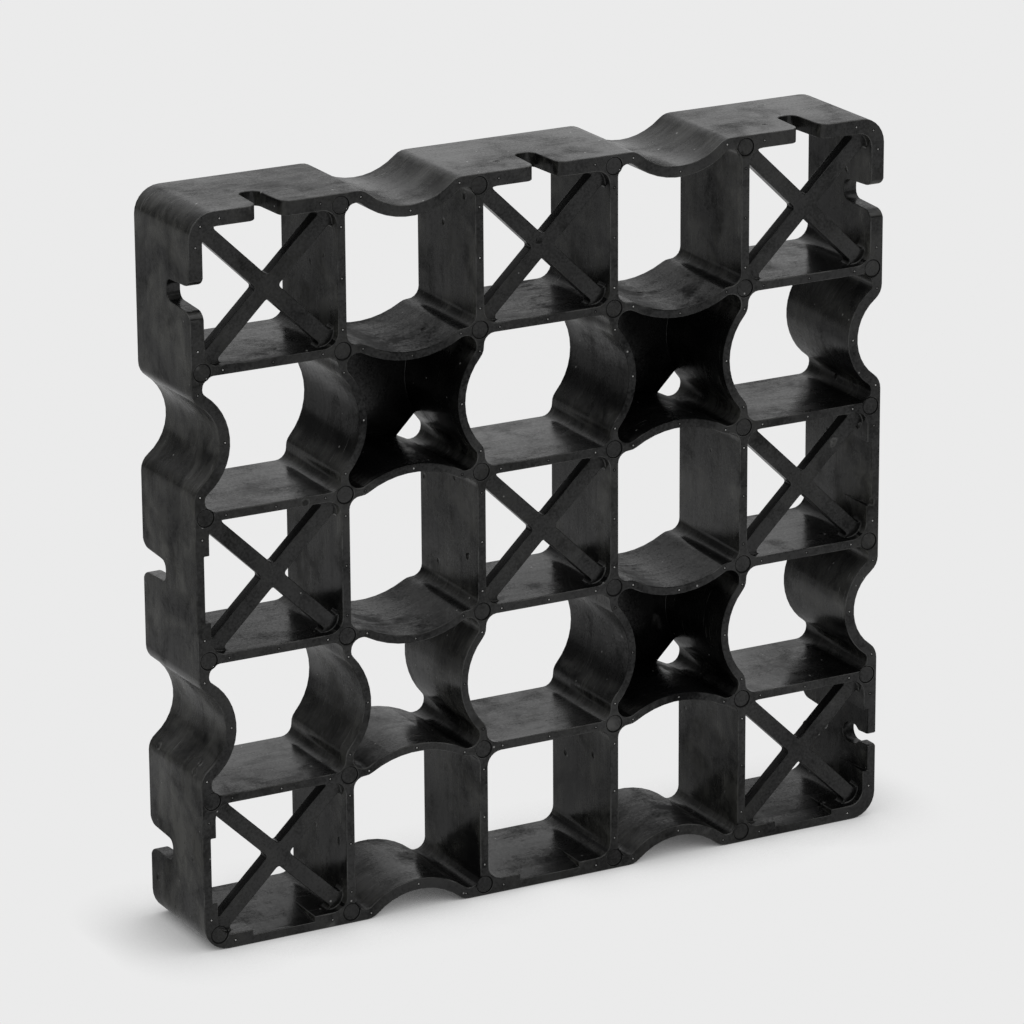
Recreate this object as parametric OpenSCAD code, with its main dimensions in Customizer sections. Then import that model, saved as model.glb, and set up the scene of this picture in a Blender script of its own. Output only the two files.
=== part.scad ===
// Ground reinforcement grid: a nearly square panel of five by five cells, moulded in one piece.
// Straight and S-curved walls share one regular lattice. X bars stiffen the straight
// cells, floors close three of the star-shaped ones, and slots in the rim join panels.
// The panel stands on its lower edge: X runs along it, Y from front to back, and Z is up.

/* [Lattice] */
// Distance between neighbouring upright grid lines
column_pitch = 64; // [60:1:80]
// Distance between neighbouring level grid lines
row_pitch = 62; // [60:1:80]
// Distance from the outermost grid lines to the outer faces of the rim
edge_margin = 5; // [4.6:0.1:5.6]
// Depth of the panel from its front face to its back face
depth = 52; // [50:1:80]

/* [Walls] */
// Thickness of the straight walls between cells
wall = 4; // [3:0.2:5]
// Thickness of the curved walls between cells
curved_wall = 3.6; // [3:0.2:5]
// Thickness of the straight stretches of the rim
rim_wall = 6.4; // [5.8:0.2:7]
// Thickness of the scalloped stretches of the rim
scallop_wall = 5; // [4:0.2:5.4]
// Outer radius of the four panel corners
panel_corner_r = 11.5; // [7:0.5:14]
// Fillet in the corners of the straight cells
cell_fillet = 6.5; // [3:0.5:9]
// Fillet in the corners of the cells that have curved walls
lobe_fillet = 5; // [3:0.25:5]

/* [Curved walls] */
// Distance from a grid line to the place where a curved wall leaves it
shoulder_start = 7.5; // [7.5:0.25:10]
// Radius of a curved wall's shoulders, along its middle
shoulder_r = 5; // [3.5:0.25:7]
// Bulge of the curved walls that stand upright
upright_bulge = 9; // [5:0.5:11]
// Bulge of the curved walls that lie flat
flat_bulge = 6.5; // [5:0.5:11]
// Depth of the scallops in the two sides of the rim
side_scallop = 12; // [8:0.5:13]
// Depth of the scallops in the top and the bottom of the rim
top_scallop = 9; // [7:0.5:13]
// Radius of a scallop's shoulders, along its outer face
scallop_shoulder_r = 8; // [5.75:0.25:9]

/* [Cross bars] */
// Width of the bars of an X
bar_width = 7; // [4:0.5:9]
// Thickness of the bars, front to back
bar_depth = 6; // [4:0.5:12]
// Distance of the bars behind the front face
bar_setback = 4; // [1:0.5:8]
// Fillet where the bars meet each other and the walls
bar_fillet = 1.5; // [1:0.25:3]

/* [Star cell floors] */
// Thickness of the floors, which lie flush with the back face
floor_thickness = 4; // [2:0.5:8]
// Distance from a lattice node to the floor's edge across a lobe
lobe_opening = 14.5; // [12:0.5:17]

/* [Joining slots] */
// Width of a joining slot where it meets the face
slot_width = 11; // [8:0.5:14]
// How much narrower the slot is at its end
slot_draft = 2; // [0:0.25:3]
// How far a joining slot runs in from the face
slot_depth = 22; // [16:1:24]
// Radius on each side of a slot's mouth
slot_mouth_r = 5.5; // [2:0.5:6]
// Radius in the end corners of a slot
slot_end_r = 3.5; // [1:0.5:3.5]

/* [Keyhole slot] */
// Width of the keyhole's neck
keyhole_neck = 5; // [4:0.5:6]
// Length of the keyhole's neck
keyhole_neck_length = 7; // [6:0.5:8]
// Width of the keyhole's bulb
keyhole_bulb = 9; // [8:0.5:12]
// How far the keyhole runs in from the face
keyhole_depth = 18; // [17:0.5:22]
// Radius on each side of the keyhole's mouth
keyhole_mouth_r = 2; // [1:0.5:3]

/* [Seats in the rim] */
// Length of the shallow seats in the rim's inner face
seat_length = 29; // [20:1:34]
// How far the seats run in from the front face before they fade out
seat_depth = 20; // [12:1:28]
// How deep the seats are cut into the rim at the front face
seat_recess = 2.5; // [0.8:0.1:3]

/* [Node marks] */
// Diameter of the shallow round marks on the front of the lattice nodes
mark_d = 7.6; // [5:0.2:8]
// Depth of the round marks
mark_depth = 0.5; // [0.2:0.1:1]
// Distance of the one mark at a corner from both outer faces
corner_mark_inset = 7; // [7:0.25:9]

/* [Hidden] */

// Cells are [column, row] and lines count likewise, from the left and the top, from zero.
cells = 5;
middle = (cells - 1) / 2;
half_width = cells * column_pitch / 2 + edge_margin;
half_height = cells * row_pitch / 2 + edge_margin;
// Which way the curved stretches of each line bulge: 1 is right or down, -1 is left or up.
bulge_side = [1, 1, -1, 1, -1, -1];
// The straight cell without cross bars, and the star cell without a floor.
plain_cell = [2, 4];
open_star = [1, 3];

// Sides of the panel and of a cell: the bottom comes first and the rest go anticlockwise.
BOTTOM = 0;
RIGHT = 1;
TOP = 2;
LEFT = 3;
// Slots and seats as [side, cells along that side, counted from the left or the top].
front_slots = [[TOP, [0, 2, 4]], [LEFT, [0]], [RIGHT, [0]]];
back_slots = [[LEFT, [2, 4]], [RIGHT, [4]]];
keyholes = [[RIGHT, [4]]];
seats = [[LEFT, [2, 4]], [RIGHT, [2, 4]], [BOTTOM, [0, 2, 4]]];

// How far the straight pieces of an arc may stray from it.
arc_error = 0.08;
mark_fn = 16;
// How far the tools run past the faces that they cut.
past = 1;
// How far a slot's tool runs past the inner face of the rim.
slot_reach = 2;

// An arc from one angle to another, ends included.
function arc(centre, r, from, to) =
    let (steps = ceil(abs(to - from) / (2 * acos(1 - arc_error / r))))
    [for (i = [0:steps])
        let (a = from + (to - from) * i / steps)
        centre + r * [cos(a), sin(a)]];

// A closed outline from corners of the form [x, y, radius].
function rounded(corners) =
    let (n = len(corners))
    [for (i = [0:n - 1])
        let (
            p = [corners[i].x, corners[i].y],
            before = corners[(i + n - 1) % n],
            after = corners[(i + 1) % n],
            u = [before.x, before.y] - p,
            v = [after.x, after.y] - p,
            r = corners[i].z,
            half_angle = acos(u * v / norm(u) / norm(v)) / 2,
            bisector = u / norm(u) + v / norm(v),
            centre = p + bisector / norm(bisector) * r / sin(half_angle),
            left_turn = u.y * v.x - u.x * v.y > 0 ? 1 : -1,
            mid = atan2(p.y - centre.y, p.x - centre.x),
            swing = left_turn * (90 - half_angle)
        )
        each r == 0 ? [p] : arc(centre, r, mid - swing, mid + swing)];

function moved(points, by) = [for (p = points) p + by];

function turned(points, quarters) =
    let (c = [1, 0, -1, 0][quarters], s = [0, 1, 0, -1][quarters])
    [for (p = points) [c * p.x - s * p.y, s * p.x + c * p.y]];

// The right half of an outline followed by its mirror image.
function mirrored(half) =
    concat(half, [for (i = [len(half) - 1:-1:0]) [-half[i].x, half[i].y, half[i].z]]);

// One face of a curved stretch of wall: a shoulder, the main arc and a shoulder, tangent.
// The line that it follows rises by rise, and the face lies below that line by offset.
// reach is the distance from the middle of the stretch to where either shoulder starts.
function bow(reach, rise, r, offset) =
    let (
        side = sign(rise),
        radii = (reach * reach + rise * rise) / (2 * abs(rise)),
        lean = asin(reach / radii),
        near_r = r + side * offset,
        main_r = radii - r - side * offset,
        main_centre = [0, side * (abs(rise) - radii + r)]
    )
    concat(
        arc([-reach, side * r], near_r, -90 * side, (lean - 90) * side),
        arc(main_centre, main_r, (90 + lean) * side, (90 - lean) * side),
        arc([reach, side * r], near_r, (-90 - lean) * side, -90 * side)
    );

function on_rim(line) = line == 0 || line == cells;

function line_of(cell, side) = [cell.y + 1, cell.x + 1, cell.y, cell.x][side];

// Walls along odd columns and rows are curved.
function is_curved(cell, side) = (side % 2 == 0 ? cell.x : cell.y) % 2 == 1;

// Bulge of a cell's side, positive away from the cell.
function rise_of(cell, side) =
    let (
        line = line_of(cell, side),
        flat = side % 2 == 0,
        outward = side == BOTTOM || side == RIGHT ? 1 : -1,
        amount = on_rim(line) ? (flat ? top_scallop : side_scallop) : (flat ? flat_bulge : upright_bulge)
    )
    outward * bulge_side[line] * amount;

// Distance from a side's grid line to the cell's face, beside the corners.
function inset_of(cell, side) =
    let (curved = is_curved(cell, side))
    on_rim(line_of(cell, side))
        ? (curved ? scallop_wall : rim_wall) - edge_margin
        : (curved ? curved_wall : wall) / 2;

function is_straight(cell) = cell.x % 2 == 0 && cell.y % 2 == 0;
function is_star(cell) = cell.x % 2 == 1 && cell.y % 2 == 1;
function centre_of(cell) = [(cell.x - middle) * column_pitch, half_height + (middle - cell.y) * row_pitch];

// Spacing of the cells along a side, and half a cell and half the panel across it.
function spacing(side) = side % 2 == 0 ? column_pitch : row_pitch;
function half_cell(side) = (side % 2 == 0 ? row_pitch : column_pitch) / 2;
function half_panel(side) = side % 2 == 0 ? half_height : half_width;

// One side of a cell, turned to the bottom: the corner before it, then its curve.
function side_points(cell, side) =
    let (
        fillet = is_straight(cell) ? cell_fillet : lobe_fillet,
        corner = [inset_of(cell, (side + 3) % 4) + fillet - spacing(side) / 2,
            inset_of(cell, side) + fillet - half_cell(side)],
        rim = on_rim(line_of(cell, side)),
        reach = spacing(side) / 2 - shoulder_start,
        rise = rise_of(cell, side),
        curve = rim
            ? bow(reach, rise, scallop_shoulder_r, scallop_wall)
            : bow(reach, rise, shoulder_r, curved_wall / 2),
        line = rim ? half_cell(side) + edge_margin : half_cell(side)
    )
    concat(
        arc(corner, fillet, 180, 270),
        is_curved(cell, side) ? [for (p = curve) [p.x, -line - p.y]] : []
    );

function cell_outline(cell) =
    moved([for (side = [BOTTOM:LEFT]) each turned(side_points(cell, side), side)], centre_of(cell));

// One side of the panel, turned to the bottom: its first corner, then its scallops.
function rim_points(side) =
    let (
        corner = [panel_corner_r - half_panel(side + 1), panel_corner_r - half_panel(side)],
        scallop = side % 2 == 0 ? top_scallop : side_scallop,
        curve = bow(spacing(side) / 2 - shoulder_start, -scallop, scallop_shoulder_r, 0)
    )
    concat(
        arc(corner, panel_corner_r, 180, 270),
        [for (i = [1:2:cells - 1], p = curve)
            [p.x + (i - middle) * spacing(side), -half_panel(side) - p.y]]
    );

function panel_outline() =
    moved([for (side = [BOTTOM:LEFT]) each turned(rim_points(side), side)], [0, half_height]);

// Outline of the window between two bars and one side of a cell.
function window_outline(cell, side) =
    let (
        to_node = [spacing(side) / 2, half_cell(side)],
        tip = bar_width / 2 * norm(to_node) / to_node.x,
        base = half_cell(side) - inset_of(cell, side),
        foot = (base - tip) * to_node.x / to_node.y
    )
    moved(
        turned(
            rounded([[0, -tip, bar_fillet], [-foot, -base, bar_fillet], [foot, -base, bar_fillet]]),
            side
        ),
        centre_of(cell)
    );

// A joining slot, drawn from the face at y = 0 inward.
function slot_outline() =
    rounded(mirrored([
        [slot_width / 2 + 2 * slot_mouth_r, -past, 0],
        [slot_width / 2, 0, slot_mouth_r],
        [(slot_width - slot_draft) / 2, slot_depth, slot_end_r]
    ]));

// The keyhole, drawn from the face at y = 0 inward.
function keyhole_outline() =
    let (flare = (keyhole_bulb - keyhole_neck) / 2)
    rounded(mirrored([
        [keyhole_neck / 2 + 2 * keyhole_mouth_r, -past, 0],
        [keyhole_neck / 2, 0, keyhole_mouth_r],
        [keyhole_neck / 2, keyhole_neck_length, flare],
        [keyhole_bulb / 2, keyhole_neck_length + flare, flare],
        [keyhole_bulb / 2, keyhole_depth, keyhole_bulb / 2 - 0.2]
    ]));

// Stands flat drawings up: their y becomes height, and they are extruded back to front.
module upright() {
    translate([0, depth / 2, 0])
        rotate([90, 0, 0])
            children();
}

// A prism between two distances from the back face.
module slab(from, to) {
    translate([0, 0, from])
        linear_extrude(to - from)
            children();
}

// Space around cross bars: open in front of them and behind them, with windows between.
module barred_opening(cell) {
    front = depth - bar_setback;
    back = front - bar_depth;
    slab(front, depth + past)
        polygon(cell_outline(cell));
    for (side = [BOTTOM:LEFT])
        slab(back, front)
            polygon(window_outline(cell, side));
    slab(-past, back)
        polygon(cell_outline(cell));
}

// A star cell above its floor, and the floor's openings in the tips of the lobes.
module floored_opening(cell) {
    slab(floor_thickness, depth + past)
        polygon(cell_outline(cell));
    slab(-past, floor_thickness)
        difference() {
            polygon(cell_outline(cell));
            translate(centre_of(cell))
                circle((column_pitch + row_pitch) / 2 - lobe_opening * sqrt(2), $fn = 4);
        }
}

module cell_opening(cell) {
    if (is_star(cell) && cell != open_star)
        floored_opening(cell);
    else if (is_straight(cell) && cell != plain_cell)
        barred_opening(cell);
    else
        slab(-past, depth + past)
            polygon(cell_outline(cell));
}

// Places a tool drawn along X at the middle of a cell's stretch of the rim. The tool's y
// runs in from the outer face, and its z from the back face to the front.
module at_rim(side, along) {
    offset = (along - middle) * spacing(side);
    translate([0, half_height, 0])
        rotate([0, 0, 90 * side])
            translate([side == BOTTOM || side == LEFT ? offset : -offset, -half_panel(side), 0])
                children();
}

// A cut through the rim's thickness, from an outline whose y runs in from the front face.
module through_rim(from_front) {
    translate([0, -past, from_front ? depth : 0])
        rotate([from_front ? -90 : 90, 0, 0])
            mirror([0, 0, from_front ? 0 : 1])
                linear_extrude(rim_wall + slot_reach + past)
                    children();
}

module rim_cuts(places, from_front = true) {
    for (place = places, along = place[1])
        at_rim(place[0], along)
            through_rim(from_front)
                children();
}

// A shallow seat in the rim's inner face, open at the front and fading out towards the back.
module seat_cut() {
    slope = seat_recess / seat_depth;
    rotate([90, 0, 90])
        linear_extrude(seat_length, center = true)
            polygon([
                [rim_wall - seat_recess - slope * past, depth + past],
                [rim_wall, depth - seat_depth],
                [rim_wall + slot_reach, depth - seat_depth],
                [rim_wall + slot_reach, depth + past]
            ]);
}

module node_mark(at) {
    translate([at.x, at.y, depth - mark_depth])
        cylinder(h = mark_depth + past, d = mark_d, $fn = mark_fn);
}

module node_marks() {
    last = cells;
    for (i = [0:last], j = [0:last])
        if (!(on_rim(i) && on_rim(j)))
            node_mark([(i - last / 2) * column_pitch, half_height + (last / 2 - j) * row_pitch]);
    node_mark([corner_mark_inset - half_width, corner_mark_inset]);
}

module grid() {
    color([0.08, 0.08, 0.085])
        upright()
            difference() {
                slab(0, depth)
                    polygon(panel_outline());
                for (column = [0:cells - 1], row = [0:cells - 1])
                    cell_opening([column, row]);
                rim_cuts(front_slots)
                    polygon(slot_outline());
                rim_cuts(back_slots, from_front = false)
                    polygon(slot_outline());
                rim_cuts(keyholes)
                    polygon(keyhole_outline());
                for (place = seats, along = place[1])
                    at_rim(place[0], along)
                        seat_cut();
                node_marks();
            }
}

grid();
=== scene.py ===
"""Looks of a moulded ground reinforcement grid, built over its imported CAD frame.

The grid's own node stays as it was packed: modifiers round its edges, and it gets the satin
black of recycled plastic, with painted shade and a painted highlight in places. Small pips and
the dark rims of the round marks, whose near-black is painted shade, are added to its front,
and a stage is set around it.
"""

import math

import bmesh
import bpy
from bpy.props import FloatProperty, FloatVectorProperty, IntProperty, PointerProperty
from mathutils import Euler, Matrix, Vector


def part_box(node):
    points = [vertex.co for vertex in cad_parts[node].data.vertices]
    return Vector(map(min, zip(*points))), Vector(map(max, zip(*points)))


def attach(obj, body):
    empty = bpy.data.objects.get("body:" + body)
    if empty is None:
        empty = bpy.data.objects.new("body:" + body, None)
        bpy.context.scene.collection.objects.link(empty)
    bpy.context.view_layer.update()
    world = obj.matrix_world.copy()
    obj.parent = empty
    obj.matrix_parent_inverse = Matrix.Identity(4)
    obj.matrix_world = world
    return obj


bl_info = {
    "name": "Ground Grid",
    "version": (1, 0, 0),
    "blender": (4, 5, 0),
    "location": "3D View > Sidebar > Ground Grid",
    "description": "Finishes a moulded ground reinforcement grid and sets its stage",
    "category": "Object",
}

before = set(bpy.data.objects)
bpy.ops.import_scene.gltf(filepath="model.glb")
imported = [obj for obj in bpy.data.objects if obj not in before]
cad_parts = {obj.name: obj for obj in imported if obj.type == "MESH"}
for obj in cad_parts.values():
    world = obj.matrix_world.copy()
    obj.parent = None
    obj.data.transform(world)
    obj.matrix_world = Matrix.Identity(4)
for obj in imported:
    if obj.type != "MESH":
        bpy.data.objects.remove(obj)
LOW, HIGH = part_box("grid")
MIDDLE = (LOW + HIGH) / 2
CELLS = 5
# Which way the curved stretches of each line bulge: 1 is right or down, -1 is left or up.
BULGE_SIDE = (1, 1, -1, 1, -1, -1)
# The closed star cells, as column and row: nothing reaches in to grey them, and their clean black
# also stands as painted shade in these deep cavities.
DEEP_CELLS = ((1, 1), (3, 1), (3, 3))
# The distances from such a cell's middle between which its clean black, partly painted shade, gives
# way to the greyed and worn plastic.
DEEP_REACH = (0.031, 0.034)
# The X bars lie within this share of the pitch, either way from the middle of a straight cell.
BAR_SHARE = 0.45
# Level faces this close to the top belong to the rim.
TOP_RIM = 0.015


# Settings


class GridForm(bpy.types.PropertyGroup):
    """Sizes of the grid's small forms."""

    column_pitch: FloatProperty(
        name="Column pitch", description="Distance between upright grid lines",
        default=0.064, min=0.04, max=0.1, unit="LENGTH")
    row_pitch: FloatProperty(
        name="Row pitch", description="Distance between level grid lines",
        default=0.062, min=0.04, max=0.1, unit="LENGTH")
    edge_margin: FloatProperty(
        name="Edge margin", description="Distance from the outermost grid lines to the outer faces",
        default=0.005, min=0.003, max=0.008, unit="LENGTH")
    rim_wall: FloatProperty(
        name="Rim wall", description="Thickness of the rim's straight stretches",
        default=0.0064, min=0.004, max=0.008, unit="LENGTH")
    scallop_wall: FloatProperty(
        name="Scallop wall", description="Thickness of the rim's scalloped stretches",
        default=0.005, min=0.003, max=0.006, unit="LENGTH")
    corner_radius: FloatProperty(
        name="Corner radius", description="Outer radius of the panel's corners",
        default=0.0115, min=0.005, max=0.02, unit="LENGTH")
    shoulder_start: FloatProperty(
        name="Shoulder start",
        description="Distance from a grid line to where a curved wall leaves it",
        default=0.0075, min=0.005, max=0.012, unit="LENGTH")
    shoulder_radius: FloatProperty(
        name="Shoulder radius", description="Radius of a curved wall's shoulders",
        default=0.005, min=0.003, max=0.01, unit="LENGTH")
    scallop_shoulder: FloatProperty(
        name="Scallop shoulder", description="Radius of a scallop's shoulders",
        default=0.008, min=0.003, max=0.01, unit="LENGTH")
    upright_bulge: FloatProperty(
        name="Upright bulge", description="Bulge of the upright curved walls",
        default=0.009, min=0.004, max=0.012, unit="LENGTH")
    flat_bulge: FloatProperty(
        name="Level bulge", description="Bulge of the level curved walls",
        default=0.0065, min=0.004, max=0.012, unit="LENGTH")
    side_scallop: FloatProperty(
        name="Side scallop", description="Depth of the scallops in the rim's sides",
        default=0.012, min=0.006, max=0.014, unit="LENGTH")
    top_scallop: FloatProperty(
        name="Top scallop", description="Depth of the scallops in the rim's top and bottom",
        default=0.009, min=0.006, max=0.014, unit="LENGTH")
    pip_inset: FloatProperty(
        name="Pip inset", description="Distance from a lattice node to the pips beside it",
        default=0.0092, min=0.006, max=0.02, unit="LENGTH")
    pip_width: FloatProperty(
        name="Pip width", description="Width of a pip with the groove around it",
        default=0.0015, min=0.0006, max=0.003, unit="LENGTH")
    pip_height: FloatProperty(
        name="Pip height", description="How far a pip stands proud of the front",
        default=0.00025, min=0.0001, max=0.0006, unit="LENGTH")
    mark_width: FloatProperty(
        name="Mark width", description="Width of the round marks at the nodes",
        default=0.0076, min=0.005, max=0.01, unit="LENGTH")
    mark_depth: FloatProperty(
        name="Mark depth", description="Depth of the round marks",
        default=0.0005, min=0.0002, max=0.001, unit="LENGTH")
    corner_mark_inset: FloatProperty(
        name="Corner mark inset",
        description="Distance of the lower left corner's mark from the grid's edges",
        default=0.007, min=0.005, max=0.01, unit="LENGTH")
    edge_round: FloatProperty(
        name="Edge rounding", description="Width of the rounding along every sharp edge",
        default=0.0004, min=0.0001, max=0.0008, unit="LENGTH")
    edge_steps: IntProperty(
        name="Edge steps", description="Faces across each rounded edge", default=2, min=1, max=4)
    sharp_angle: FloatProperty(
        name="Sharp angle", description="Edges that turn more than this are rounded",
        default=math.radians(55), min=0.5, max=1.5, unit="ROTATION")


class GridFinish(bpy.types.PropertyGroup):
    """Colours and sheen of the plastic."""

    plastic: FloatVectorProperty(
        name="Plastic", description="Colour of the clean plastic",
        default=(0.003, 0.0031, 0.0032), size=3, min=0, max=1, subtype="COLOR")
    bloom: FloatVectorProperty(
        name="Bloom", description="Colour of the plastic where handling and dust have greyed it",
        default=(0.11, 0.11, 0.1), size=3, min=0, max=1, subtype="COLOR")
    scuff: FloatVectorProperty(
        name="Scuff", description="Colour of scratches, dust and the torn lips of nicks",
        default=(0.16, 0.16, 0.155), size=3, min=0, max=1, subtype="COLOR")
    worn_edge: FloatVectorProperty(
        name="Worn edge", description="Colour of the edges where handling has rubbed them",
        default=(0.07, 0.07, 0.068), size=3, min=0, max=1, subtype="COLOR")
    rubbed: FloatVectorProperty(
        name="Rubbed tip", description="Colour of the pips' rubbed tips and of bright specks",
        default=(0.5, 0.5, 0.49), size=3, min=0, max=1, subtype="COLOR")
    # groove_shade: painted shade, the near-black that stands for the shade in the grooves around the
    # pips and on the round marks' walls.
    groove_shade: FloatVectorProperty(
        name="Groove", description="Colour of the grooves around the pips and the round marks",
        default=(0.0012, 0.0012, 0.0012), size=3, min=0, max=1, subtype="COLOR")
    roughness: FloatProperty(
        name="Roughness", description="Roughness of the clean plastic",
        default=0.14, min=0.1, max=0.9)
    dull_roughness: FloatProperty(
        name="Dull roughness", description="Roughness where the plastic is dulled",
        default=0.55, min=0.1, max=0.9)
    gloss: FloatProperty(
        name="Gloss", description="Strength of the clean plastic's reflections",
        default=0.5, min=0, max=1)
    dull_gloss: FloatProperty(
        name="Dull gloss", description="Strength of the reflections where the plastic is dulled",
        default=0.06, min=0, max=1)
    # dust_and_highlight: how strongly the dusting on the slopes shows, with the highlight painted
    # along the crests.
    dust_and_highlight: FloatProperty(
        name="Dust", description="How strongly the dust on the slopes shows",
        default=0.4, min=0, max=1)
    scratches: FloatProperty(
        name="Scratches", description="How strongly the scratches show",
        default=0.35, min=0, max=1)
    nick_lips: FloatProperty(
        name="Nick lips", description="How strongly the torn lips of the nicks show",
        default=0.5, min=0, max=1)
    specks: FloatProperty(
        name="Specks", description="How strongly the bright specks show",
        default=0.6, min=0, max=1)


class GridStage(bpy.types.PropertyGroup):
    """Camera, floor and light."""

    camera_place: FloatVectorProperty(
        name="Camera place", description="Where the camera stands",
        default=(-1.08621, -2.00466, 0.90278), size=3, subtype="TRANSLATION", unit="LENGTH")
    camera_turn: FloatVectorProperty(
        name="Camera turn", description="How the camera is turned",
        default=tuple(math.radians(turn) for turn in (71.9743, 0.3389, -28.4819)),
        size=3, subtype="EULER")
    lens: FloatProperty(
        name="Lens", description="Focal length on a 36 mm sensor, in millimetres",
        default=197.175, min=50, max=400)
    backdrop: FloatVectorProperty(
        name="Backdrop", description="Colour of the background that the camera sees",
        default=(0.83, 0.83, 0.83), size=3, min=0, max=1, subtype="COLOR")
    shade: FloatProperty(
        name="Shade", description="How light the floor stays where the grid covers it",
        default=0.06, min=0, max=1)
    shade_reach: FloatProperty(
        name="Shade reach", description="How far the shade spreads on the floor",
        default=0.039, min=0.005, max=0.5, unit="LENGTH")
    shade_lean: FloatVectorProperty(
        name="Shade lean", description="Direction that the floor is lit from, away from the shade",
        default=(0.2, -0.06, 0.97), size=3, subtype="DIRECTION")
    floor_behind: FloatProperty(
        name="Floor behind", description="Light from the floor behind the grid",
        default=0.56, min=0, max=2)
    floor_left: FloatProperty(
        name="Floor at the left", description="Light from the shaded floor far behind at the left",
        default=0.33, min=0, max=2)
    floor_before: FloatProperty(
        name="Floor in front", description="Light from the floor before the grid",
        default=0.78, min=0, max=2)
    sky_before: FloatProperty(
        name="Sky in front", description="Light from the studio behind the camera",
        default=0.3, min=0, max=2)
    sky_left: FloatProperty(
        name="Sky at the left", description="Light from the shaded side behind the grid",
        default=0.09, min=0, max=2)
    sky_right: FloatProperty(
        name="Sky at the right", description="Light from the lit backdrop behind the grid",
        default=0.97, min=0, max=2)
    sky_above: FloatProperty(
        name="Sky above", description="Extra light from straight above",
        default=1.5, min=0, max=3)
    lamp: FloatProperty(
        name="Lamp", description="Power of the large lamp above the grid",
        default=0.5, min=0, max=200)
    lamp_place: FloatVectorProperty(
        name="Lamp place", description="Where the large lamp hangs",
        default=(-0.35, 0.25, 1.3), size=3, subtype="TRANSLATION", unit="LENGTH")


# Shader recipes


class Value:
    """A socket that takes part in arithmetic: each operation adds its Math node."""

    def __init__(self, recipe, socket):
        self.recipe = recipe
        self.socket = socket

    def _with(self, operation, first, second):
        return self.recipe.add("ShaderNodeMath", {"operation": operation}, {0: first, 1: second})[0]

    def __add__(self, other):
        return self._with("ADD", self, other)

    __radd__ = __add__

    def __sub__(self, other):
        return self._with("SUBTRACT", self, other)

    def __rsub__(self, other):
        return self._with("SUBTRACT", other, self)

    def __mul__(self, other):
        return self._with("MULTIPLY", self, other)

    __rmul__ = __mul__

    def __gt__(self, other):
        return self._with("GREATER_THAN", self, other)

    def __lt__(self, other):
        return self._with("LESS_THAN", self, other)


class Made:
    """A node that was added: its outputs are read by name or number."""

    def __init__(self, recipe, node):
        self.recipe = recipe
        self.node = node

    def __getitem__(self, key):
        return Value(self.recipe, self.node.outputs[key])


class Recipe:
    """Adds nodes to one tree."""

    def __init__(self, tree):
        self.tree = tree
        tree.nodes.clear()

    def add(self, kind, settings=None, values=None):
        """Adds a node of this kind, sets its settings, then fills or links its input sockets."""
        node = self.tree.nodes.new(kind)
        for name, value in (settings or {}).items():
            if name == "stops":
                self._set_stops(node.color_ramp.elements, value)
            else:
                setattr(node, name, value)
        for key, value in (values or {}).items():
            if isinstance(value, Value):
                self.tree.links.new(value.socket, node.inputs[key])
            else:
                node.inputs[key].default_value = value
        return Made(self, node)

    @staticmethod
    def _set_stops(elements, stops):
        while len(elements) < len(stops):
            elements.new(0.5)
        for element, (place, shade) in zip(elements, stops):
            element.position = place
            element.color = (shade, shade, shade, 1)

    def ramp(self, value, *stops):
        """A value spread between the stops, each a place and a shade."""
        return self.add("ShaderNodeValToRGB", {"stops": stops}, {"Fac": value})["Color"]

    def vector_math(self, operation, first, second):
        """A Vector Math node, on vectors that are linked or given."""
        return self.add("ShaderNodeVectorMath", {"operation": operation}, {0: first, 1: second})

    def scaled(self, vector, factors):
        """A vector with each of its parts times its own factor."""
        return self.vector_math("MULTIPLY", vector, factors)["Vector"]

    def distance(self, vector, point):
        """How far one place lies from another."""
        return self.vector_math("DISTANCE", vector, point)["Value"]

    def off_centre(self, value, pitch):
        """How far a place lies from the middle of the nearest even cell, along one direction."""
        return self.add("ShaderNodeMath", {"operation": "PINGPONG"}, {0: value, 1: pitch})[0]

    def noise(self, vector, scale, detail=4, roughness=0.55, distortion=0.0):
        """Soft uneven patches: a higher scale makes them smaller, more detail rougher."""
        return self.add("ShaderNodeTexNoise", None, {
            "Vector": vector, "Scale": scale, "Detail": detail,
            "Roughness": roughness, "Distortion": distortion})["Fac"]

    def lines(self, vector, along, through, **shape):
        """Noise drawn out into lines: slow along the walls, quick through their depth."""
        return self.noise(self.scaled(vector, (along, through, along)), 1.0, **shape)

    def bent(self, vector, scale, reach):
        """A place moved about by noise, so that shapes laid on it lose their regular outline."""
        wander = self.add("ShaderNodeTexNoise", None, {"Vector": vector, "Scale": scale})["Color"]
        centred = self.vector_math("SUBTRACT", wander, (0.5, 0.5, 0.5))["Vector"]
        return self.vector_math("ADD", vector, self.scaled(centred, (reach, reach, reach)))["Vector"]

    def spots(self, vector, scale, rarity, *stops):
        """Sparse round spots: a value around the middle of the few cells that are chosen."""
        cells = self.add(
            "ShaderNodeTexVoronoi", {"feature": "F1"}, {"Vector": vector, "Scale": scale})
        chosen = self.add("ShaderNodeSeparateColor", None, {0: cells["Color"]})["Red"]
        return self.ramp(cells["Distance"], *stops) * (chosen > rarity)

    def mixed(self, factor, first, second):
        """Two colours mixed by a factor. The Mix node's colour sockets go by their numbers."""
        return self.add("ShaderNodeMix", {"data_type": "RGBA"}, {
            "Factor": factor, 6: first, 7: second})[2]


def colour(value):
    """A colour with the alpha that a colour socket takes."""
    return (*value, 1)


def new_material(name):
    """A material and the recipe for its nodes."""
    material = bpy.data.materials.new(name)
    material.use_nodes = True
    return material, Recipe(material.node_tree)


def surface_coordinates(recipe):
    """Place and direction of the surface, in metres and in the grid's own frame."""
    made = recipe.add("ShaderNodeTexCoord")
    return made["Object"], made["Normal"]


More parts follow.
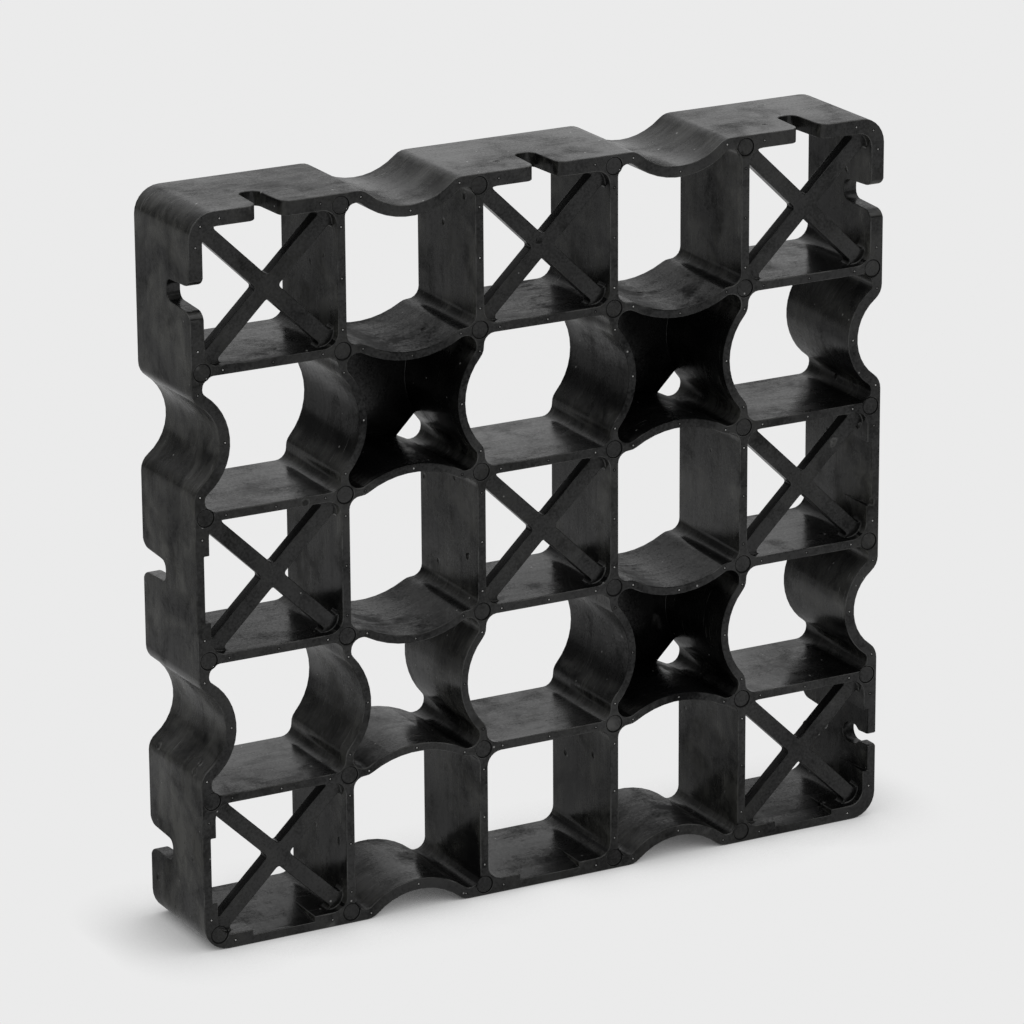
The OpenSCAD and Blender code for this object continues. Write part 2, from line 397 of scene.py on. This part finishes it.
def reach_of_hands_and_light(recipe, place, form):
    """1 where hands and dusting get to and light falls, falling to 0 in the deep cells: their clean
    black there is partly painted shade.
    """
    flat = recipe.scaled(place, (1, 0, 1))
    centre = CELLS // 2
    start, end = DEEP_REACH
    reached = None
    for column, row in DEEP_CELLS:
        middle = ((column - centre) * form.column_pitch, 0,
                  MIDDLE.z + (centre - row) * form.row_pitch)
        outside = recipe.ramp(recipe.distance(flat, middle), (start, 0), (end, 1))
        reached = outside if reached is None else reached * outside
    return reached


def lattice_masks(recipe, place, form):
    """Where the X bars are, and the even rows with the bowls that dip into the next row."""
    spot = recipe.add("ShaderNodeSeparateXYZ", None, {0: place})
    off_column = recipe.off_centre(spot["X"], form.column_pitch)
    off_row = recipe.off_centre(spot["Z"] - MIDDLE.z, form.row_pitch)
    bars = (off_column < BAR_SHARE * form.column_pitch) * (off_row < BAR_SHARE * form.row_pitch)
    bowl = form.flat_bulge * (off_column > 0.5 * form.column_pitch)
    even_rows = (off_row < 0.5 * form.row_pitch + bowl) * (spot["Z"] < HIGH.z - TOP_RIM)
    return bars, even_rows


def plastic_material(finish, form):
    """Satin black plastic with flow lines along the walls, greyed patches, scratches and nicks."""
    material, recipe = new_material("moulded_plastic")
    place, direction = surface_coordinates(recipe)
    ramp = recipe.ramp

    # Flow lines from the moulding, and the uneven ground that the wear follows.
    fine_lines = recipe.lines(place, 28, 620, detail=5, roughness=0.65)
    broad_lines = recipe.lines(place, 16, 130, detail=3)
    clouds = recipe.noise(place, 34, detail=4, roughness=0.6, distortion=0.8)
    smears = recipe.lines(place, 75, 120, detail=4, roughness=0.62, distortion=0.5)
    grain = recipe.noise(place, 900, detail=2)
    patches = recipe.noise(place, 13, detail=2)

    # Which way a face looks, and where on the lattice it lies.
    facing = recipe.add("ShaderNodeSeparateXYZ", None, {0: direction})
    upward = ramp(facing["Z"], (0.15, 0), (0.95, 1))
    slopes = ramp(facing["Z"], (0.3, 0), (0.55, 1), (0.85, 1), (0.97, 0))
    forward = ramp(facing["Y"] * -1, (0.6, 0), (0.95, 1))
    turned = ramp(facing["X"], (0.02, 1), (0.25, 0.6))
    # Low in the deep cells, whose plastic stays clean black: partly no handling there, partly painted
    # shade.
    handled_and_unshaded = reach_of_hands_and_light(recipe, place, form)
    bars, even_rows = lattice_masks(recipe, place, form)
    # The bar sides keep the clean black, without haze or dusting: painted shade, as dark as the
    # shaded floor that they mirror.
    off_bar_sides = 1 - bars * (1 - forward)

    # Haze and film from handling, and dust_and_highlight on the slopes: dusting together with a
    # painted highlight along the scallops' crests.
    hazed = (ramp(clouds, (0.38, 0), (0.62, 1)) * ramp(smears, (0.35, 0.2), (0.62, 1))
             * ramp(grain, (0.3, 0.55), (0.7, 1.0)))
    film = ramp(smears, (0.3, 0), (0.7, 1)) * ramp(patches, (0.35, 0.2), (0.65, 1))
    dust_and_highlight = (slopes * ramp(fine_lines, (0.35, 0.4), (0.65, 1))
            * ramp(clouds, (0.38, 0.05), (0.6, 1)))

    # Scratches, bright specks, and nicks with torn lips around them.
    scratch_place = recipe.add("ShaderNodeMapping", None, {
        "Vector": place, "Rotation": (0.3, 0.5, 0.7), "Scale": (60, 900, 60)})["Vector"]
    scratch = recipe.noise(scratch_place, 1.0, detail=1, distortion=0.4)
    scratches = ramp(scratch, (0.68, 0), (0.76, 1)) * ramp(clouds, (0.5, 0), (0.6, 1))
    specks = recipe.spots(place, 260, 0.95, (0.08, 1), (0.15, 0))
    nicked = recipe.bent(place, 150, 0.004)
    nicks = recipe.spots(nicked, 62, 0.8, (0.05, 1), (0.11, 0))
    lips = recipe.spots(nicked, 62, 0.8, (0.06, 0), (0.1, 1), (0.14, 0))

    # The rounded edges, rubbed in stretches.
    rounding = recipe.add("ShaderNodeAttribute", {"attribute_name": "rounding"})["Fac"]
    stretches = ramp(recipe.noise(place, 90, detail=3), (0.42, 0.05), (0.62, 1))
    rubbed = rounding * handled_and_unshaded * stretches

    # Painted shade: the greying is cut on faces that look up or forward, on the bar sides and in the
    # deep cells, so that these stay darker.
    greyed = (hazed * (0.1 + 0.9 * handled_and_unshaded) * (1 - 0.8 * forward) * (1 - 0.95 * upward)
              * off_bar_sides)
    base = recipe.mixed(greyed, colour(finish.plastic), colour(finish.bloom))
    for amount, shade in (
            # dust_and_highlight, in the scuff's colour: dusting with a painted highlight on the
            # slopes, kept off faces turned right, the bar sides and the deep cells.
            (dust_and_highlight * turned * handled_and_unshaded * off_bar_sides * finish.dust_and_highlight, finish.scuff),
            (scratches * finish.scratches, finish.scuff),
            (lips * ramp(fine_lines, (0.45, 0), (0.6, 1)) * finish.nick_lips, finish.scuff),
            (specks * finish.specks, finish.rubbed),
            (rubbed * (1 - 0.7 * bars), finish.worn_edge)):
        base = recipe.mixed(amount, base, colour(shade))

    roughness = (finish.roughness + 0.1 * (fine_lines - 0.5) + 0.3 * film + 0.2 * scratches
                 + 0.2 * rubbed)
    height = 0.35 * fine_lines + 0.5 * broad_lines + 0.2 * grain - 0.5 * scratches - 6 * nicks
    bump = recipe.add("ShaderNodeBump", None, {
        "Strength": 0.5, "Distance": 0.00025, "Height": height})["Normal"]

    # How far the surface is matt: in blotches and streaks, on the floors of the even rows and
    # where it turns to the right.
    blotches = ramp(
        recipe.noise(place, 48, detail=4, roughness=0.65, distortion=0.3), (0.5, 0), (0.66, 1))
    streaks = ramp(recipe.lines(place, 34, 330, detail=4, roughness=0.6), (0.45, 0), (0.7, 1))
    dulled = ((0.3 * ramp(patches, (0.4, 0), (0.62, 1)) + 0.4 * blotches + 0.15 * streaks
               + (0.9 + 0.5 * forward) * (grain - 0.5) + 0.2 * (1 - handled_and_unshaded) + 0.5 * nicks
               + 0.25 * upward * even_rows + 0.6 * (1 - turned)) * off_bar_sides)
    glossy, matt = (
        recipe.add("ShaderNodeBsdfPrincipled", None, {
            "Base Color": base, "Roughness": rough, "Normal": bump, "Specular IOR Level": gloss})
        for rough, gloss in (
            (roughness, finish.gloss), (finish.dull_roughness, finish.dull_gloss)))
    surface = recipe.add("ShaderNodeMixShader", None, {0: dulled, 1: glossy["BSDF"], 2: matt["BSDF"]})
    recipe.add("ShaderNodeOutputMaterial", None, {"Surface": surface[0]})
    return material


# The moulding


def mesh_recipe(name):
    """The recipe of a new geometry tree that takes one mesh and gives one, and the taken mesh."""
    tree = bpy.data.node_groups.new(name, "GeometryNodeTree")
    for way in ("INPUT", "OUTPUT"):
        tree.interface.new_socket("Geometry", in_out=way, socket_type="NodeSocketGeometry")
    recipe = Recipe(tree)
    return recipe, recipe.add("NodeGroupInput")[0]


def stored_tree(recipe, mesh, domain, name, value):
    """The recipe's tree, closed with a number that is stored on the mesh."""
    stored = recipe.add(
        "GeometryNodeStoreNamedAttribute", {"data_type": "FLOAT", "domain": domain},
        {"Geometry": mesh, "Name": name, "Value": value})[0]
    recipe.add("NodeGroupOutput", None, {0: stored})
    return recipe.tree


def edge_marking_tree(sharp_angle):
    """A geometry tree that smooths every face and marks the sharp edges for the rounding."""
    recipe, given = mesh_recipe("mark_sharp_edges")
    plain = recipe.add("GeometryNodeSetMeshNormal", {"mode": "SHARPNESS"}, {
        "Mesh": given, "Remove Custom": True, "Edge Sharpness": False, "Face Sharpness": False})[0]
    angle = recipe.add("GeometryNodeInputMeshEdgeAngle")["Unsigned Angle"]
    sharp = recipe.add(
        "FunctionNodeCompare", {"operation": "GREATER_THAN"}, {0: angle, 1: sharp_angle})[0]
    return stored_tree(recipe, plain, "EDGE", "bevel_weight_edge", sharp)


def rounding_finding_tree(edge_round):
    """A geometry tree that stores which faces belong to the roundings, by their short edges."""
    recipe, given = mesh_recipe("find_roundings")
    ends = recipe.add("GeometryNodeInputMeshEdgeVertices")
    length = recipe.distance(ends["Position 1"], ends["Position 2"])
    short = recipe.add("GeometryNodeFieldOnDomain", {"domain": "EDGE", "data_type": "FLOAT"}, {
        0: length < edge_round})[0]
    # On a face, the value is the share of its edges that are short.
    return stored_tree(recipe, given, "FACE", "rounding", short > 0.4)


def rounded_edges(moulding, form):
    """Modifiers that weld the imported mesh, round its sharp edges and even out its shading."""
    weld = moulding.modifiers.new("join_faces", "WELD")
    weld.merge_threshold = 1e-6
    marks = moulding.modifiers.new("mark_edges", "NODES")
    marks.node_group = edge_marking_tree(form.sharp_angle)
    bevel = moulding.modifiers.new("round_edges", "BEVEL")
    bevel.limit_method = "WEIGHT"
    bevel.width = form.edge_round
    bevel.segments = form.edge_steps
    bevel.use_clamp_overlap = False
    bevel.miter_outer = "MITER_SHARP"
    bevel.loop_slide = False
    found = moulding.modifiers.new("find_roundings", "NODES")
    found.node_group = rounding_finding_tree(form.edge_round)
    shading = moulding.modifiers.new("even_shading", "WEIGHTED_NORMAL")
    shading.keep_sharp = True


class GRID_OT_dress_moulding(bpy.types.Operator):
    """Round the moulding's edges and give it its plastic"""

    bl_idname = "grid.dress_moulding"
    bl_label = "Dress the moulding"
    bl_options = {"REGISTER", "UNDO"}

    def execute(self, context):
        settings = context.scene
        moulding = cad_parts["grid"]
        rounded_edges(moulding, settings.grid_form)
        material = plastic_material(settings.grid_finish, settings.grid_form)
        for slot in moulding.material_slots:
            slot.material = material
        return {"FINISHED"}


# The pips and the marks' rims


def bow_height(along, reach, rise, radius):
    """How far a curved wall has left its grid line at a distance from its middle."""
    # The bulge's arc and a shoulder's arc touch, so the reach and the rise give their sum.
    radii = (reach ** 2 + rise ** 2) / (2 * rise)
    step = reach - abs(along)
    if step <= 0:
        return 0.0
    if step < radius * reach / radii:
        return radius - math.sqrt(radius ** 2 - step ** 2)
    return rise - radii + radius + math.sqrt((radii - radius) ** 2 - along ** 2)


def wall_point(form, upright, line, cell, along):
    """The middle of a wall's thickness on the front, at a distance from its stretch's middle."""
    pitch = form.row_pitch if upright else form.column_pitch
    on_rim = line in (0, CELLS)
    curved = cell % 2 == 1
    outward = -1 if line == 0 else 1
    shift = 0.0
    if on_rim:
        shift = outward * (form.edge_margin - (form.scallop_wall if curved else form.rim_wall) / 2)
    if curved:
        inner = form.upright_bulge if upright else form.flat_bulge
        scallop = form.side_scallop if upright else form.top_scallop
        shift += BULGE_SIDE[line] * bow_height(
            along, pitch / 2 - form.shoulder_start, scallop if on_rim else inner,
            form.scallop_shoulder if on_rim else form.shoulder_radius)
    across = (line - CELLS / 2) * (form.column_pitch if upright else form.row_pitch) + shift
    run = (cell - CELLS // 2) * pitch + along
    x, drop = (across, run) if upright else (run, across)
    return Vector((x, LOW.y, MIDDLE.z - drop))


def pip_places(form):
    """Beside every node, halfway along every wall that isn't cut there, and on the top corners."""
    places = []
    for upright in (True, False):
        far = (form.row_pitch if upright else form.column_pitch) / 2 - form.pip_inset
        for line in range(CELLS + 1):
            for cell in range(CELLS):
                # A slot or a seat cuts each straight stretch of the rim halfway.
                cut = line in (0, CELLS) and cell % 2 == 0
                steps = (-far, far) if cut else (-far, 0, far)
                places += [wall_point(form, upright, line, cell, along) for along in steps]
    lean = (form.corner_radius - form.rim_wall / 2) * math.sqrt(0.5)
    for side, x in ((-1, LOW.x), (1, HIGH.x)):
        places.append(Vector((
            x + side * (lean - form.corner_radius), LOW.y, HIGH.z + lean - form.corner_radius)))
    return places


def mark_places(form):
    """Every node of the lattice but the corners, and a place in from the lower left corner."""
    places = []
    for column in range(CELLS + 1):
        for row in range(CELLS + 1):
            if column not in (0, CELLS) or row not in (0, CELLS):
                places.append(Vector((
                    (column - CELLS / 2) * form.column_pitch, LOW.y,
                    MIDDLE.z + (CELLS / 2 - row) * form.row_pitch)))
    inset = form.corner_mark_inset
    places.append(Vector((LOW.x + inset, LOW.y, LOW.z + inset)))
    return places


def lathed(mesh, place, profile, steps):
    """Turns a profile of radii and heights about the place, standing out of the front."""
    rings = []
    for radius, height in profile:
        if radius == 0:
            rings.append([mesh.verts.new(place + Vector((0, -height, 0)))])
            continue
        ring = []
        for step in range(steps):
            angle = 2 * math.pi * step / steps
            ring.append(mesh.verts.new(
                place + Vector((radius * math.cos(angle), -height, radius * math.sin(angle)))))
        rings.append(ring)
    bands = []
    for inner, outer in zip(rings, rings[1:]):
        band = []
        for step in range(steps):
            after = (step + 1) % steps
            if len(inner) == 1:
                band.append(mesh.faces.new((inner[0], outer[step], outer[after])))
            else:
                band.append(mesh.faces.new((inner[step], outer[step], outer[after], inner[after])))
        bands.append(band)
    return bands


def linked_object(name, data):
    """An object that holds this data, linked into the scene."""
    made = bpy.data.objects.new(name, data)
    bpy.context.scene.collection.objects.link(made)
    return made


def detail_object(name, shape, materials):
    """Turns a built shape into a smooth-shaded object with the given materials, attached to the root
    body.
    """
    bmesh.ops.recalc_face_normals(shape, faces=shape.faces)
    mesh = bpy.data.meshes.new(name)
    shape.to_mesh(mesh)
    shape.free()
    mesh.shade_smooth()
    for material in materials:
        mesh.materials.append(material)
    piece = linked_object(name, mesh)
    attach(piece, "root")


def detail_plastic(name, shade, roughness, gloss):
    """The same plastic, rubbed bright, or near black as painted shade in the grooves, unevenly from
    place to place.
    """
    material, recipe = new_material(name)
    place, _ = surface_coordinates(recipe)
    uneven = recipe.ramp(recipe.noise(place, 60, detail=2), (0.35, 0), (0.65, 1))
    faint = [level * 0.12 for level in shade]
    base = recipe.mixed(uneven, colour(faint), colour(shade))
    shader = recipe.add("ShaderNodeBsdfPrincipled", None, {
        "Base Color": base, "Roughness": roughness, "Specular IOR Level": gloss})
    recipe.add("ShaderNodeOutputMaterial", None, {"Surface": shader["BSDF"]})
    return material


class GRID_OT_add_pips(bpy.types.Operator):
    """Set the small round pips into the front of the walls"""

    bl_idname = "grid.add_pips"
    bl_label = "Add the pips"
    bl_options = {"REGISTER", "UNDO"}

    def execute(self, context):
        form = context.scene.grid_form
        finish = context.scene.grid_finish
        sides = 10
        half, top = form.pip_width / 2, form.pip_height
        foot = (0.52 * half, 0.06 * top)
        dome = ((0, top), (0.28 * half, 0.9 * top), (0.46 * half, 0.3 * top), foot)
        # The band around each dome takes the second material: near black, painted shade.
        groove_shade = (foot, (0.85 * half, 0.12 * top), (half, -0.1 * top))
        shape = bmesh.new()
        for place in pip_places(form):
            lathed(shape, place, dome, sides)
            for band in lathed(shape, place, groove_shade, sides):
                for face in band:
                    face.material_index = 1
        detail_object("pips", shape, (
            detail_plastic("rubbed_plastic", finish.rubbed, roughness=0.35, gloss=0.3),
            detail_plastic("shaded_groove", finish.groove_shade, roughness=0.8, gloss=0.02)))
        return {"FINISHED"}


class GRID_OT_line_marks(bpy.types.Operator):
    """Line the rims of the round marks at the nodes with a near-black ring of painted shade"""

    bl_idname = "grid.line_marks"
    bl_label = "Line the round marks"
    bl_options = {"REGISTER", "UNDO"}

    def execute(self, context):
        form = context.scene.grid_form
        finish = context.scene.grid_finish
        sides = 32
        half, deep = form.mark_width / 2, form.mark_depth
        # From the mark's floor up its wall, over the edge and back into the front.
        rim = ((half - 0.6 * deep, -0.95 * deep), (half, 0.02 * deep),
               (half + 0.2 * deep, 0.03 * deep), (half + 0.35 * deep, -0.05 * deep))
        shape = bmesh.new()
        for place in mark_places(form):
            lathed(shape, place, rim, sides)
        # The ring's near-black is painted shade on the mark's wall and edge.
        detail_object("mark_rims", shape, (
            detail_plastic("mark_rim_shade", finish.groove_shade, roughness=0.7, gloss=0.14),))
        return {"FINISHED"}


# The stage


def stage_floor(stage):
    """A wide paper floor: the camera sees the backdrop's colour and the shade around the foot."""
    far = 8.0
    corners = [(-far, -far, 0), (far, -far, 0), (far, far, 0), (-far, far, 0)]
    mesh = bpy.data.meshes.new("floor")
    mesh.from_pydata(corners, [], [(0, 1, 2, 3)])
    floor = linked_object("floor", mesh)
    material, recipe = new_material("floor_paper")
    camera_ray = recipe.add("ShaderNodeLightPath")["Is Camera Ray"]
    spot = recipe.add("ShaderNodeTexCoord")["Object"]
    place = recipe.add("ShaderNodeSeparateXYZ", None, {0: spot})
    lean = recipe.add("ShaderNodeCombineXYZ", None, dict(zip("XYZ", stage.shade_lean)))[0]
    openness = recipe.add("ShaderNodeAmbientOcclusion", {"samples": 6}, {
        "Distance": stage.shade_reach, "Normal": lean})["AO"]
    seen = recipe.ramp(openness, (0, stage.shade), (0.3, 0.4), (0.6, 0.62), (0.85, 0.86), (1, 1))

    # What the floor throws onto the grid: bright before it, dimmer behind it and to the left.
    before = recipe.ramp(0.5 - place["Y"] * 3, (0.25, 0), (0.75, 1))
    behind = recipe.ramp(
        place["X"] - place["Y"] * 0.5 + 0.5, (0, stage.floor_left), (0.15, stage.floor_behind))
    shaded = recipe.ramp(place["Y"], (0.04, 0.3), (0.22, 1))
    lit = before * stage.floor_before + (1 - before) * behind * shaded
    cast, shown = (
        recipe.add("ShaderNodeEmission", None, {
            "Color": recipe.mixed(level, colour((0, 0, 0)), colour(stage.backdrop))})[0]
        for level in (lit, seen))
    glow = recipe.add("ShaderNodeMixShader", None, {0: camera_ray, 1: cast, 2: shown})[0]
    recipe.add("ShaderNodeOutputMaterial", None, {"Surface": glow})
    mesh.materials.append(material)


def stage_world(stage):
    """Pale light, strongest from above and behind, with the backdrop's colour for the camera."""
    world = bpy.data.worlds.new("studio")
    bpy.context.scene.world = world
    world.use_nodes = True
    recipe = Recipe(world.node_tree)
    camera_ray = recipe.add("ShaderNodeLightPath")["Is Camera Ray"]
    sky = recipe.add("ShaderNodeTexCoord")["Generated"]
    towards = recipe.add("ShaderNodeSeparateXYZ", None, {0: sky})
    back = recipe.ramp(towards["Y"] * 0.5 + 0.5, (0.35, 0), (0.75, 1))
    # The lit backdrop stands behind the grid, to the right.
    panel = towards["X"] * 0.5 + towards["Y"] * 0.84 + towards["Z"] * 0.2
    lit = recipe.ramp(
        panel, (0.62, stage.sky_left), (0.8, 0.5 * stage.sky_right), (0.97, stage.sky_right))
    above = recipe.ramp(towards["Z"], (0.6, 0), (0.9, 1))
    light = back * lit + (1 - back) * stage.sky_before + above * stage.sky_above
    background = recipe.add("ShaderNodeBackground", None, {
        "Color": colour(stage.backdrop), "Strength": camera_ray + (1 - camera_ray) * light})[0]
    recipe.add("ShaderNodeOutputWorld", None, {"Surface": background})


def stage_lamp(stage):
    """A large soft lamp above the grid, turned to its middle."""
    light = bpy.data.lights.new("top_lamp", "AREA")
    light.shape = "RECTANGLE"
    light.size, light.size_y = 1.2, 1.0
    light.energy = stage.lamp
    lamp = linked_object("top_lamp", light)
    lamp.location = stage.lamp_place
    lamp.rotation_euler = (MIDDLE - lamp.location).to_track_quat("-Z", "Y").to_euler()


def stage_camera(stage):
    """The camera, at the photo's angle."""
    camera = bpy.data.cameras.new("camera")
    camera.lens = stage.lens
    camera.sensor_width = 36
    camera.clip_end = 50
    holder = linked_object("camera", camera)
    holder.location = stage.camera_place
    holder.rotation_euler = Euler(stage.camera_turn)
    bpy.context.scene.camera = holder


class GRID_OT_set_stage(bpy.types.Operator):
    """Put the floor, the light and the camera in place"""

    bl_idname = "grid.set_stage"
    bl_label = "Set the stage"
    bl_options = {"REGISTER", "UNDO"}

    def execute(self, context):
        stage = context.scene.grid_stage
        stage_floor(stage)
        stage_world(stage)
        stage_lamp(stage)
        stage_camera(stage)
        context.scene.view_settings.view_transform = "Standard"
        return {"FINISHED"}


# Panel and registration


OPERATORS = (GRID_OT_dress_moulding, GRID_OT_add_pips, GRID_OT_line_marks, GRID_OT_set_stage)


class GRID_PT_sidebar(bpy.types.Panel):
    """Lists the steps that dress the grid and their settings"""

    bl_label = "Ground Grid"
    bl_idname = "GRID_PT_sidebar"
    bl_space_type = "VIEW_3D"
    bl_region_type = "UI"
    bl_category = "Ground Grid"

    def draw(self, context):
        layout = self.layout
        for operator in OPERATORS:
            layout.operator(operator.bl_idname)
        scene = context.scene
        for settings in (scene.grid_form, scene.grid_finish, scene.grid_stage):
            box = layout.box()
            for name in settings.bl_rna.properties.keys():
                if name not in {"rna_type", "name"}:
                    box.prop(settings, name)


CLASSES = (GridForm, GridFinish, GridStage, *OPERATORS, GRID_PT_sidebar)


def register():
    for entry in CLASSES:
        bpy.utils.register_class(entry)
    bpy.types.Scene.grid_form = PointerProperty(type=GridForm)
    bpy.types.Scene.grid_finish = PointerProperty(type=GridFinish)
    bpy.types.Scene.grid_stage = PointerProperty(type=GridStage)


def unregister():
    del bpy.types.Scene.grid_stage
    del bpy.types.Scene.grid_finish
    del bpy.types.Scene.grid_form
    for entry in reversed(CLASSES):
        bpy.utils.unregister_class(entry)


def main():
    """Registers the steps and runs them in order."""
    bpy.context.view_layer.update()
    register()
    bpy.ops.grid.dress_moulding()
    bpy.ops.grid.add_pips()
    bpy.ops.grid.line_marks()
    bpy.ops.grid.set_stage()


if __name__ == "__main__":
    main()
